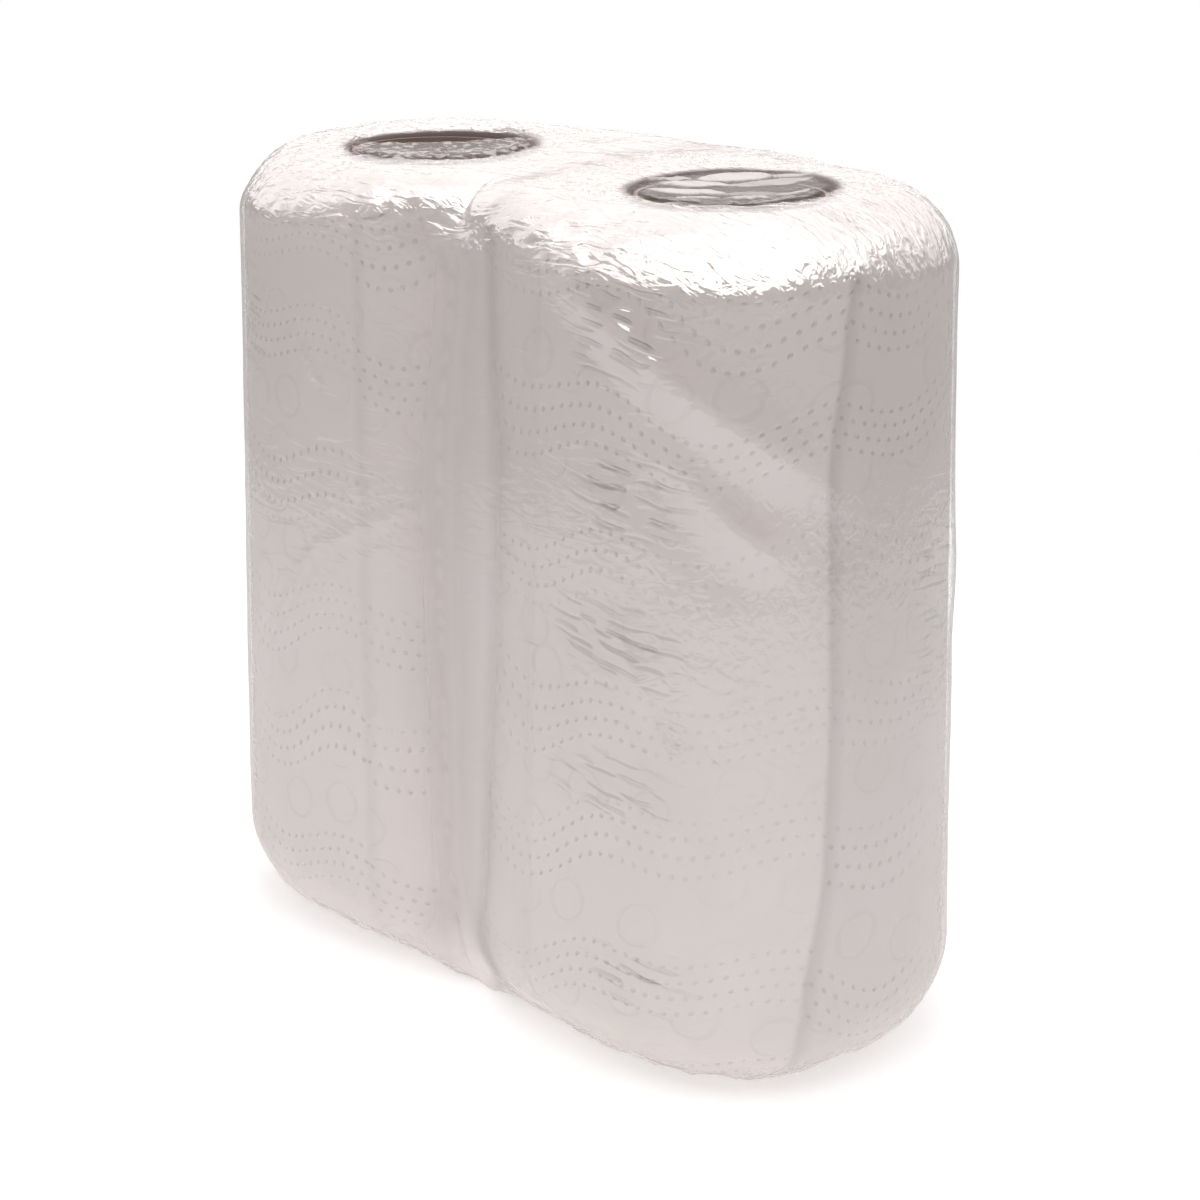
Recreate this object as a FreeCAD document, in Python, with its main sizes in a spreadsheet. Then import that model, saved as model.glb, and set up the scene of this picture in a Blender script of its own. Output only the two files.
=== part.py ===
import FreeCAD, Part
import math
import os
import Sketcher

# A pack of two paper towel rolls standing side by side in one tight clear film.
# Millimetres. +Z is up, +X runs from the left roll to the right one, -Y is the front.
# The origin is on the floor, under the middle of the pack.

document = FreeCAD.newDocument("paper_towel_pack")

# Driving dimensions. The plan sizes hold at half height: the sides lean in towards the top.
DIMENSIONS = [
    ("roll_width", 110.4),          # along X, before the rolls press each other flat
    ("roll_depth", 101.6),          # along Y
    ("roll_height", 218.4),
    ("roll_flat", 5.8),             # half the flat left between the round corners of its shorter side
    ("roll_top_edge", 16.0),        # rounding of the crushed upper rim
    ("roll_bottom_edge", 18.0),
    ("roll_press", 1.95),           # how far each roll is pressed in where it meets the other
    ("roll_gap", 0.4),              # between the two pressed faces
    ("base_spread", 2.5),           # how much further out a side stands on the floor
    ("core_bore", 45.0),
    ("core_wall", 1.0),
    ("core_inset", 2.5),            # a core ends this far inside the roll's end
    ("core_gap", 0.15),             # between a core and the first turn of paper
    ("film_gap", 0.3),              # between the paper and the film
    ("film_thickness", 0.5),
    ("valley_radius", 9.0),         # the film's hollow curve between the two rolls
    ("hole_inset", 1.5),            # the sag and the tear stay this far inside a core's bore
    ("dish_depth", 9.0),            # of the film's sag over the right core
    ("tear_turn", 45.0),            # the tear over the left core lies behind a chord turned this far
]

sheet = document.addObject("Spreadsheet::Sheet", "dims")
for row, (alias, size) in enumerate(DIMENSIONS, start=1):
    sheet.set(f"A{row}", alias)
    sheet.set(f"B{row}", str(size))
    sheet.setAlias(f"B{row}", alias)
document.recompute()

# Offsets from the paper's surface, as expressions in the sheet's names.
PAPER = "0"
FILM_INSIDE = "dims.film_gap"
FILM_OUTSIDE = "dims.film_gap + dims.film_thickness"
PACK_HEIGHT = f"(dims.roll_height + 2 * ({FILM_OUTSIDE}))"

# The film squeezes each roll into a rounded square: its corners' radius, and their centres.
CORNER = "(min(dims.roll_width; dims.roll_depth) / 2 - dims.roll_flat)"
CORE_X = "(dims.roll_width / 2 - dims.roll_press)"
FAR_X = f"({CORE_X} + dims.roll_width / 2 - {CORNER})"
NEAR_X = f"({CORE_X} - dims.roll_width / 2 + {CORNER})"
CORNER_Y = f"(dims.roll_depth / 2 - {CORNER})"

HOLE_RADIUS = "(dims.core_bore / 2 - dims.hole_inset)"

QUARTER = math.pi / 2
ORIGIN = (-1, 1)
CENTRE = 3


def numberOf(expression):
    return float(sheet.evalExpression(expression))


def bottomOf(offset):
    # Height of the underside of what lies this far outside the paper.
    return f"({FILM_OUTSIDE} - ({offset}))"


def spreadAt(height):
    # How far outside its half-height size a leaning side stands at a height.
    return f"(dims.base_spread * (1 - 2 * ({height}) / {PACK_HEIGHT}))"


def addBody(name):
    body = document.addObject("PartDesign::Body", name)
    body.Label = name
    return body


def basePlane(body):
    for feature in body.Origin.OriginFeatures:
        if feature.Role == "XY_Plane":
            return feature
    raise RuntimeError(f"{body.Label} has no XY plane")


def addSketch(body, name, height):
    sketch = body.newObject("Sketcher::SketchObject", name)
    sketch.AttachmentSupport = [(basePlane(body), "")]
    sketch.MapMode = "FlatFace"
    sketch.setExpression("AttachmentOffset.Base.z", height)
    return sketch


def bind(sketch, constraint, expression):
    index = sketch.addConstraint(constraint)
    sketch.setExpression(f"Constraints[{index}]", expression)


def bindPoint(sketch, kind, point, side, expression):
    # Holds a point at a distance from the sketch's origin, on the given side of it.
    ends = (*ORIGIN, *point) if side > 0 else (*point, *ORIGIN)
    bind(sketch, Sketcher.Constraint(kind, *ends, numberOf(expression)), expression)


def addArc(sketch, centre, radius, start, end):
    circle = Part.Circle(FreeCAD.Vector(*centre, 0), FreeCAD.Vector(0, 0, 1), radius)
    return sketch.addGeometry(Part.ArcOfCircle(circle, start, end), False)


def addCircle(sketch, side, diameter):
    # A circle about the middle of one roll.
    centre = FreeCAD.Vector(side * numberOf(CORE_X), 0, 0)
    circle = Part.Circle(centre, FreeCAD.Vector(0, 0, 1), numberOf(diameter) / 2)
    index = sketch.addGeometry(circle, False)
    bindPoint(sketch, "DistanceX", (index, CENTRE), side, CORE_X)
    sketch.addConstraint(Sketcher.Constraint("PointOnObject", index, CENTRE, -1))
    bind(sketch, Sketcher.Constraint("Diameter", index, numberOf(diameter)), diameter)


def cornerArc(sketch, sideX, acrossX, sideY, radius, start, end):
    # One rounded corner, walked anticlockwise.
    centre = (sideX * numberOf(acrossX), sideY * numberOf(CORNER_Y))
    index = addArc(sketch, centre, numberOf(radius), start, end)
    bind(sketch, Sketcher.Constraint("Radius", index, numberOf(radius)), radius)
    bindPoint(sketch, "DistanceX", (index, CENTRE), sideX, acrossX)
    bindPoint(sketch, "DistanceY", (index, CENTRE), sideY, CORNER_Y)
    return (index, 1, 2)


def valleyArc(sketch, sideY, corner, radius):
    # The film's hollow curve in front of or behind the seam, touching both rolls' near corners.
    reach = numberOf(corner) + numberOf(radius)
    across = numberOf(NEAR_X)
    centreY = sideY * (numberOf(CORNER_Y) + math.sqrt(reach ** 2 - across ** 2))
    half = math.asin(across / reach)
    facing = -sideY * QUARTER
    index = addArc(sketch, (0, centreY), numberOf(radius), facing - half, facing + half)
    bind(sketch, Sketcher.Constraint("Radius", index, numberOf(radius)), radius)
    return (index, 2, 1)


def joinOutline(sketch, pieces, hollow):
    # Closes the outline: arcs beside a hollow one meet it, other arcs are joined by lines.
    ends = []
    for index, first, last in pieces:
        ends.append((sketch.getPoint(index, first), sketch.getPoint(index, last)))
    for place, piece in enumerate(pieces):
        following = (place + 1) % len(pieces)
        leaving = (piece[0], piece[2])
        arriving = (pieces[following][0], pieces[following][1])
        if piece in hollow or pieces[following] in hollow:
            sketch.addConstraint(Sketcher.Constraint("Tangent", *leaving, *arriving))
            continue
        side = Part.LineSegment(ends[place][1], ends[following][0])
        line = sketch.addGeometry(side, False)
        sketch.addConstraint(Sketcher.Constraint("Tangent", *leaving, line, 1))
        sketch.addConstraint(Sketcher.Constraint("Tangent", line, 2, *arriving))


def rollOutline(sketch, side, offset):
    # Plan of one roll, a rounded square.
    radius = f"{CORNER} + {offset} + {spreadAt(bottomOf(offset))}"
    right, left = (FAR_X, NEAR_X) if side > 0 else (NEAR_X, FAR_X)
    pieces = [
        cornerArc(sketch, side, right, -1, radius, -QUARTER, 0),
        cornerArc(sketch, side, right, 1, radius, 0, QUARTER),
        cornerArc(sketch, side, left, 1, radius, QUARTER, 2 * QUARTER),
        cornerArc(sketch, side, left, -1, radius, 2 * QUARTER, 3 * QUARTER),
    ]
    joinOutline(sketch, pieces, [])


def packOutline(sketch, offset):
    # Plan of the film round both rolls, with a hollow curve in each valley between them.
    spread = spreadAt(bottomOf(offset))
    radius = f"{CORNER} + {offset} + {spread}"
    hollowRadius = f"dims.valley_radius + {bottomOf(offset)} - {spread}"
    turn = math.asin(numberOf(NEAR_X) / (numberOf(radius) + numberOf(hollowRadius)))
    back = valleyArc(sketch, 1, radius, hollowRadius)
    front = valleyArc(sketch, -1, radius, hollowRadius)
    pieces = [
        cornerArc(sketch, 1, FAR_X, -1, radius, -QUARTER, 0),
        cornerArc(sketch, 1, FAR_X, 1, radius, 0, QUARTER),
        cornerArc(sketch, 1, NEAR_X, 1, radius, QUARTER, QUARTER + turn),
        back,
        cornerArc(sketch, -1, NEAR_X, 1, radius, QUARTER - turn, QUARTER),
        cornerArc(sketch, -1, FAR_X, 1, radius, QUARTER, 2 * QUARTER),
        cornerArc(sketch, -1, FAR_X, -1, radius, 2 * QUARTER, 3 * QUARTER),
        cornerArc(sketch, -1, NEAR_X, -1, radius, 3 * QUARTER, 3 * QUARTER + turn),
        front,
        cornerArc(sketch, 1, NEAR_X, -1, radius, 3 * QUARTER - turn, 3 * QUARTER),
    ]
    joinOutline(sketch, pieces, [back, front])


def addLeaningPad(body, sketch, offset):
    # Raises an outline to the full height, with sides that lean in.
    pad = body.newObject("PartDesign::Pad", "Sides")
    pad.Profile = sketch
    pad.setExpression("Length", f"{PACK_HEIGHT} - 2 * {bottomOf(offset)}")
    pad.setExpression("TaperAngle", f"-atan(2 * dims.base_spread / {PACK_HEIGHT})")
    document.recompute()
    return pad


def edgesAt(shape, height):
    names = []
    for number, edge in enumerate(shape.Edges, start=1):
        box = edge.BoundBox
        if abs(box.ZMin - height) < 0.01 and abs(box.ZMax - height) < 0.01:
            names.append(f"Edge{number}")
    return names


def roundEnds(body, base, offset):
    # Rounds the lower rim, then the upper one.
    underside = numberOf(bottomOf(offset))
    heights = [underside, numberOf(PACK_HEIGHT) - underside]
    for name, height in zip(("bottom", "top"), heights):
        fillet = body.newObject("PartDesign::Fillet", f"{name}_edge")
        fillet.Base = (base, edgesAt(base.Shape, height))
        fillet.setExpression("Radius", f"dims.roll_{name}_edge + {offset}")
        document.recompute()
        base = fillet


def addThroughPocket(body, name, sketch):
    # Cuts upwards from the sketch right through the body.
    before = body.Shape.Volume
    pocket = body.newObject("PartDesign::Pocket", name)
    pocket.Profile = sketch
    pocket.Type = "ThroughAll"
    pocket.Reversed = True
    document.recompute()
    if body.Shape.Volume > before - 1:
        raise RuntimeError(f"{name} of {body.Label} cut nothing")


def addFlat(body, side):
    # Cuts a roll back to the flat where it presses against the other.
    sketch = addSketch(body, "flat_outline", bottomOf(PAPER))
    seam = "dims.roll_gap / 2"
    inner = side * numberOf(seam)
    outer = -side * numberOf("dims.roll_width")
    half = numberOf("dims.roll_depth")
    corners = [(inner, -half), (inner, half), (outer, half), (outer, -half)]
    for place, corner in enumerate(corners):
        following = corners[(place + 1) % 4]
        line = Part.LineSegment(FreeCAD.Vector(*corner, 0), FreeCAD.Vector(*following, 0))
        sketch.addGeometry(line, False)
    for place in range(4):
        sketch.addConstraint(Sketcher.Constraint("Coincident", place, 2, (place + 1) % 4, 1))
    for place in (0, 2):
        sketch.addConstraint(Sketcher.Constraint("Vertical", place))
        sketch.addConstraint(Sketcher.Constraint("Horizontal", place + 1))
    bindPoint(sketch, "DistanceX", (0, 1), side, seam)
    bindPoint(sketch, "DistanceX", (2, 1), -side, "dims.roll_width")
    bindPoint(sketch, "DistanceY", (0, 1), -1, "dims.roll_depth")
    bindPoint(sketch, "DistanceY", (0, 2), 1, "dims.roll_depth")
    addThroughPocket(body, "flat", sketch)


def makePaperRoll(name, side):
    # All the turns of paper of one roll, as one solid with the core's hole through it.
    body = addBody(name)
    outline = addSketch(body, "plan", bottomOf(PAPER))
    rollOutline(outline, side, PAPER)
    pad = addLeaningPad(body, outline, PAPER)
    roundEnds(body, pad, PAPER)
    addFlat(body, side)
    bore = addSketch(body, "bore_outline", bottomOf(PAPER))
    addCircle(bore, side, "dims.core_bore + 2 * dims.core_wall + 2 * dims.core_gap")
    addThroughPocket(body, "bore", bore)
    return body


def makeCore(name, side):
    # The cardboard tube that the paper is wound on.
    body = addBody(name)
    sketch = addSketch(body, "ring", f"{bottomOf(PAPER)} + dims.core_inset")
    addCircle(sketch, side, "dims.core_bore")
    addCircle(sketch, side, "dims.core_bore + 2 * dims.core_wall")
    pad = body.newObject("PartDesign::Pad", "tube")
    pad.Profile = sketch
    pad.setExpression("Length", "dims.roll_height - 2 * dims.core_inset")
    document.recompute()
    return body


def addDish(body, offset):
    # The sag over the right core: a sphere cut into the top, with one centre for both its faces.
    sphere = f"(({HOLE_RADIUS} ^ 2 + dims.dish_depth ^ 2) / (2 * dims.dish_depth))"
    dish = body.newObject("PartDesign::SubtractiveSphere", "dish")
    dish.AttachmentSupport = [(basePlane(body), "")]
    dish.MapMode = "FlatFace"
    dish.setExpression("AttachmentOffset.Base.x", CORE_X)
    dish.setExpression("AttachmentOffset.Base.z", f"{PACK_HEIGHT} + {sphere} - dims.dish_depth")
    dish.setExpression("Radius", f"{sphere} + {bottomOf(offset)}")
    document.recompute()


def addTear(body):
    # Half a disc that reaches up through the film's top over the left core.
    sketch = addSketch(body, "tear_outline", f"{PACK_HEIGHT} - dims.film_thickness")
    centre = FreeCAD.Vector(-numberOf(CORE_X), 0, 0)
    turn = math.radians(numberOf("dims.tear_turn"))
    reach = numberOf(HOLE_RADIUS)
    edge = FreeCAD.Vector(reach * math.cos(turn), reach * math.sin(turn), 0)
    arc = addArc(sketch, (centre.x, centre.y), reach, turn, turn + math.pi)
    chord = sketch.addGeometry(Part.LineSegment(centre - edge, centre + edge), False)
    sketch.addConstraint(Sketcher.Constraint("Coincident", arc, 2, chord, 1))
    sketch.addConstraint(Sketcher.Constraint("Coincident", chord, 2, arc, 1))
    sketch.addConstraint(Sketcher.Constraint("PointOnObject", arc, CENTRE, chord))
    sketch.addConstraint(Sketcher.Constraint("PointOnObject", arc, CENTRE, -1))
    bindPoint(sketch, "DistanceX", (arc, CENTRE), -1, CORE_X)
    bind(sketch, Sketcher.Constraint("Radius", arc, reach), HOLE_RADIUS)
    bind(sketch, Sketcher.Constraint("Angle", chord, turn), "dims.tear_turn * 1 deg")
    pad = body.newObject("PartDesign::Pad", "tear")
    pad.Profile = sketch
    pad.setExpression("Length", "2 * dims.film_thickness")
    document.recompute()


def makePackSolid(name, offset):
    # The whole pack as one closed shape, this far outside the paper.
    body = addBody(name)
    outline = addSketch(body, "plan", bottomOf(offset))
    packOutline(outline, offset)
    pad = addLeaningPad(body, outline, offset)
    roundEnds(body, pad, offset)
    addDish(body, offset)
    return body


def makeFilm(name):
    # The film is what lies between its outside and its inside, less the tear.
    outside = makePackSolid("film_outside", FILM_OUTSIDE)
    inside = makePackSolid("film_inside", FILM_INSIDE)
    addTear(inside)
    film = document.addObject("Part::Cut", name)
    film.Label = name
    film.Base = outside
    film.Tool = inside
    document.recompute()
    return film


def checkDocument(subParts):
    for item in document.Objects:
        if "Invalid" in item.State or "Error" in item.State:
            raise RuntimeError(f"{item.Label} failed: {item.State}")
    for item in subParts:
        if item.Shape.isNull() or not item.Shape.isValid() or len(item.Shape.Solids) != 1:
            raise RuntimeError(f"{item.Label} is not one valid solid")


subParts = [
    makeFilm("film_wrap"),
    makePaperRoll("left_paper_roll", -1),
    makePaperRoll("right_paper_roll", 1),
    makeCore("left_core", -1),
    makeCore("right_core", 1),
]
document.recompute()
checkDocument(subParts)

os.makedirs("parts", exist_ok=True)
for item in subParts:
    box = item.Shape.optimalBoundingBox()
    item.Shape.exportStep(f"parts/{item.Label}.step")
    print(f"{item.Label}: {item.Shape.Volume:.0f} mm3, "
          f"X {box.XMin:.2f} to {box.XMax:.2f}, Y {box.YMin:.2f} to {box.YMax:.2f}, "
          f"Z {box.ZMin:.2f} to {box.ZMax:.2f}")
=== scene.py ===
# Looks for the pack of two paper towel rolls: film, paper, cores, light and camera.
import math

import bmesh
import bpy
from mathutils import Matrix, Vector, noise


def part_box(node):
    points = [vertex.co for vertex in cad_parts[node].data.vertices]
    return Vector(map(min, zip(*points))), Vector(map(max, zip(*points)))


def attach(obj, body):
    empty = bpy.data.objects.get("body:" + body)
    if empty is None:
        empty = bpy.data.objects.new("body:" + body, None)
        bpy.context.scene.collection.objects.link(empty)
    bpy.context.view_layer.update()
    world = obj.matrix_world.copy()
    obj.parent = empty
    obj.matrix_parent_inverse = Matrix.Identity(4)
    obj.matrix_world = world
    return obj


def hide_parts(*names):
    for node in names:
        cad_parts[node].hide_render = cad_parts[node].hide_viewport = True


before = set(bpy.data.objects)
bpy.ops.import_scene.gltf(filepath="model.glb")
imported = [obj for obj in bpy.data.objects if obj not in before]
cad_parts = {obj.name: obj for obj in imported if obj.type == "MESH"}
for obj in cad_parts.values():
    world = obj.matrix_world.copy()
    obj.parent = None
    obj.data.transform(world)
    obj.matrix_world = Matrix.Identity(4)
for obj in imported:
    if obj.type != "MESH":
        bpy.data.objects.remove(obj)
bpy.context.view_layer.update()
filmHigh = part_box("film_wrap")[1]
coreLow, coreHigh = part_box("right_core")

mm = 0.001
coreX = (coreLow.x + coreHigh.x) / 2
footSpread = 2.0 * mm    # the film stands this much further out at its foot than halfway up

# the shape that the film and both rolls share, in metres
packShape = {
    "height": filmHigh.z,
    "halfWidth": filmHigh.x - coreX - footSpread,
    "halfDepth": filmHigh.y - footSpread,
    "squareness": 2.3,
    "pressedSquareness": 2.9,      # of the half that the other roll presses on
    "lean": 2.5 * mm,              # the foot stands this far out and the top this far in
    # how deep the crease lies, by height
    "crease": [(0, 37.5), (14, 42), (50, 46), (120, 48.5), (150, 48.5), (200, 44), (220, 40)],
    "backTopCreaseY": 50.5 * mm,   # the film bridges the back valley near the top
    "topEdge": 18.5 * mm,
    "endTopEdge": 20 * mm,         # at the two outer ends of the pack
    "valleyTopEdge": 9 * mm,
    # for the left and right ends: degrees of the way they slope down, and mm at the back, middle and front
    "endDrop": {-1: (-95, 0.5, 1.1, 2.0), 1: (-84, 0.0, 1.6, 2.0)},
    "heelHeight": 27 * mm,
    "heelInset": 30 * mm,
    "valleyHeelInset": 10 * mm,
    "meanRadius": 53 * mm,         # turns angles round a core into lengths on the flat maps
    "mapShift": 0.4,               # keeps the two sides' maps apart
}


def smoothStep(low, high, value):
    share = min(max((value - low) / (high - low), 0.0), 1.0)
    return share * share * (3 - 2 * share)


def blend(start, end, share):
    return start + (end - start) * share


def hump(distance, width):
    return math.exp(-(distance / width) ** 2)


def runThrough(points, value):
    # a smooth run through pairs of a place and a value
    for (low, lowValue), (high, highValue) in zip(points, points[1:]):
        if value <= high:
            return blend(lowValue, highValue, smoothStep(low, high, value))
    return points[-1][1]


def wrapAngle(angle):
    return (angle + math.pi) % (2 * math.pi) - math.pi


def outlineRadius(angle, grow):
    # a squeezed roll in plan, from its core
    across = abs(math.cos(angle)) / (packShape["halfWidth"] + grow)
    deep = abs(math.sin(angle)) / (packShape["halfDepth"] + grow)
    power = blend(packShape["squareness"], packShape["pressedSquareness"],
                  smoothStep(0, 0.6, -math.cos(angle)))
    return (across ** power + deep ** power) ** (-1 / power)


planStore = {}


def planAt(z, y):
    # how far out the film stands at a height, its crease, and its straight run from the crease to the roll
    key = (round(z / mm * 4), y > 0)
    if key in planStore:
        return planStore[key]
    grow = packShape["lean"] * (1 - 2 * z / packShape["height"])
    creaseY = runThrough(packShape["crease"], z / mm) * mm + grow
    if y > 0:
        creaseY = blend(creaseY, packShape["backTopCreaseY"], smoothStep(170 * mm, 212 * mm, z))
    start = Vector((-coreX, creaseY))
    best, bestSlope = 0, -1
    for step in range(300):
        angle = math.pi * (0.4 + 0.45 * step / 300)
        radius = outlineRadius(angle, grow)
        slope = math.atan2(radius * math.sin(angle) - start.y, radius * math.cos(angle) - start.x)
        if slope > bestSlope:
            best, bestSlope = angle, slope
    run = Vector((math.cos(bestSlope), math.sin(bestSlope)))
    crease = math.pi - math.atan2(creaseY, coreX)
    planStore[key] = {"grow": grow, "start": start, "along": run, "tangent": best, "crease": crease}
    return planStore[key]


def skinRadius(angle, plan):
    # distance from the core's middle to the film, or to the plane between the rolls
    bare = abs(wrapAngle(angle))
    if bare <= plan["tangent"]:
        return outlineRadius(bare, plan["grow"])
    if bare > plan["crease"] + 1e-6:
        return coreX / -math.cos(bare)
    ray = Vector((math.cos(bare), math.sin(bare)))
    return plan["start"].cross(plan["along"]) / ray.cross(plan["along"])


def facing(angle, plan):
    # how squarely a ray from the core meets the film
    step = 0.002
    bare = abs(wrapAngle(angle))
    here = skinRadius(bare, plan)
    slope = (skinRadius(bare - step, plan) - skinRadius(bare - 2 * step, plan)) / step
    return here / math.hypot(here, slope)


def edgeDistance(x, y, plan):
    # how far in from the outline a point of an end lies; x and y are from the core
    angle = abs(math.atan2(y, x))
    if angle <= plan["tangent"]:
        return (skinRadius(angle, plan) - math.hypot(x, y)) * facing(angle, plan)
    away = Vector((x, abs(y))) - plan["start"]
    if away.dot(plan["along"]) > 0:
        return abs(away.cross(plan["along"]))
    return away.length


def endDrop(x, y):
    # each soft end is crushed down towards the front, and one runs into the other between the rolls
    drops = []
    for side, (direction, back, middle, front) in packShape["endDrop"].items():
        direction = math.radians(direction)
        away = x - side * coreX
        far = (away * math.cos(direction) + y * math.sin(direction)) / mm
        drop = back * smoothStep(-50, -24, far) + middle * smoothStep(-24, 20, far)
        drops.append((drop + front * smoothStep(24, 44, far)) * mm)
    return blend(drops[0], drops[1], smoothStep(-26 * mm, 26 * mm, x))


def topEdgeAt(angle):
    # the upper rim is crisper where the two rolls meet
    bare = abs(wrapAngle(angle))
    turning = smoothStep(0.3 * math.pi, 0.5 * math.pi, bare)
    edge = blend(packShape["endTopEdge"], packShape["topEdge"], turning)
    return blend(edge, packShape["valleyTopEdge"], smoothStep(0.5 * math.pi, 0.8 * math.pi, bare))


def heelInsetAt(angle):
    # the film drops almost straight to the floor where the two rolls meet
    near = smoothStep(0.64 * math.pi, 0.88 * math.pi, abs(wrapAngle(angle)))
    return blend(packShape["heelInset"], packShape["valleyHeelInset"], near)


def quarterRound(distance, reach, drop):
    if distance >= reach:
        return 0.0
    return drop * (1 - math.sqrt(max(1 - (1 - distance / reach) ** 2, 0)))


def toObject(bm, name, material):
    data = bpy.data.meshes.new(name)
    bm.to_mesh(data)
    bm.free()
    made = bpy.data.objects.new(name, data)
    bpy.context.scene.collection.objects.link(made)
    data.materials.append(material)
    for face in data.polygons:
        face.use_smooth = True
    return made


def turnOutwards(bm):
    bmesh.ops.recalc_face_normals(bm, faces=bm.faces[:])
    if bm.calc_volume(signed=True) < 0:
        bmesh.ops.reverse_faces(bm, faces=bm.faces[:])


def srgb(code):
    # "RRGGBB" to a linear colour
    parts = [int(code[at:at + 2], 16) / 255 for at in (0, 2, 4)]
    linear = [part / 12.92 if part <= 0.04045 else ((part + 0.055) / 1.055) ** 2.4 for part in parts]
    return (linear[0], linear[1], linear[2], 1.0)


def addNode(tree, kind, settings=None, links=None):
    made = tree.nodes.new(kind)
    for key, value in (settings or {}).items():
        if isinstance(key, int) or key in made.inputs:
            made.inputs[key].default_value = value
        else:
            setattr(made, key, value)
    for key, source in (links or {}).items():
        tree.links.new(source, made.inputs[key])
    return made


def newMaterial(name):
    material = bpy.data.materials.new(name)
    material.use_nodes = True
    material.node_tree.nodes.clear()
    return material, material.node_tree


def addMaths(tree, operation, first, second=None):
    made = addNode(tree, "ShaderNodeMath", {"operation": operation})
    for slot, value in enumerate((first, second)):
        if isinstance(value, (int, float)):
            made.inputs[slot].default_value = value
        elif value is not None:
            tree.links.new(value, made.inputs[slot])
    return made.outputs[0]


def addStep(tree, value, low, high, outLow=0.0, outHigh=1.0):
    made = addNode(tree, "ShaderNodeMapRange",
                   {"interpolation_type": "SMOOTHSTEP", "From Min": low, "From Max": high,
                    "To Min": outLow, "To Max": outHigh}, {"Value": value})
    return made.outputs[0]


def addCrinkles(tree, flatPlace):
    # short slanting grooves, 8 to 12 mm long and 4 to 5 mm apart, one over another
    turned = addNode(tree, "ShaderNodeMapping", {"Rotation": (0, 0, math.radians(9))}, {"Vector": flatPlace})
    drift = addNode(tree, "ShaderNodeTexNoise", {"noise_dimensions": "2D", "Scale": 70.0, "Detail": 1.0},
                    {"Vector": turned.outputs[0]})
    spot = addNode(tree, "ShaderNodeSeparateXYZ", {}, {0: turned.outputs[0]})
    rows = addMaths(tree, "ADD", addMaths(tree, "MULTIPLY", spot.outputs[1], 230.0),
                    addMaths(tree, "MULTIPLY", drift.outputs[0], 0.7))
    phase = addMaths(tree, "FRACT", rows)
    groove = addMaths(tree, "MULTIPLY", addStep(tree, phase, 0.1, 0.35),
                      addStep(tree, phase, 0.35, 0.46, 1.0, 0.0))
    squashed = addNode(tree, "ShaderNodeMapping", {"Scale": (105, 190, 1)}, {"Vector": turned.outputs[0]})
    breaks = addNode(tree, "ShaderNodeTexNoise", {"noise_dimensions": "2D", "Scale": 1.0, "Detail": 0.0},
                     {"Vector": squashed.outputs[0]})
    return addMaths(tree, "MULTIPLY", groove, addStep(tree, breaks.outputs[0], 0.44, 0.6))


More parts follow.
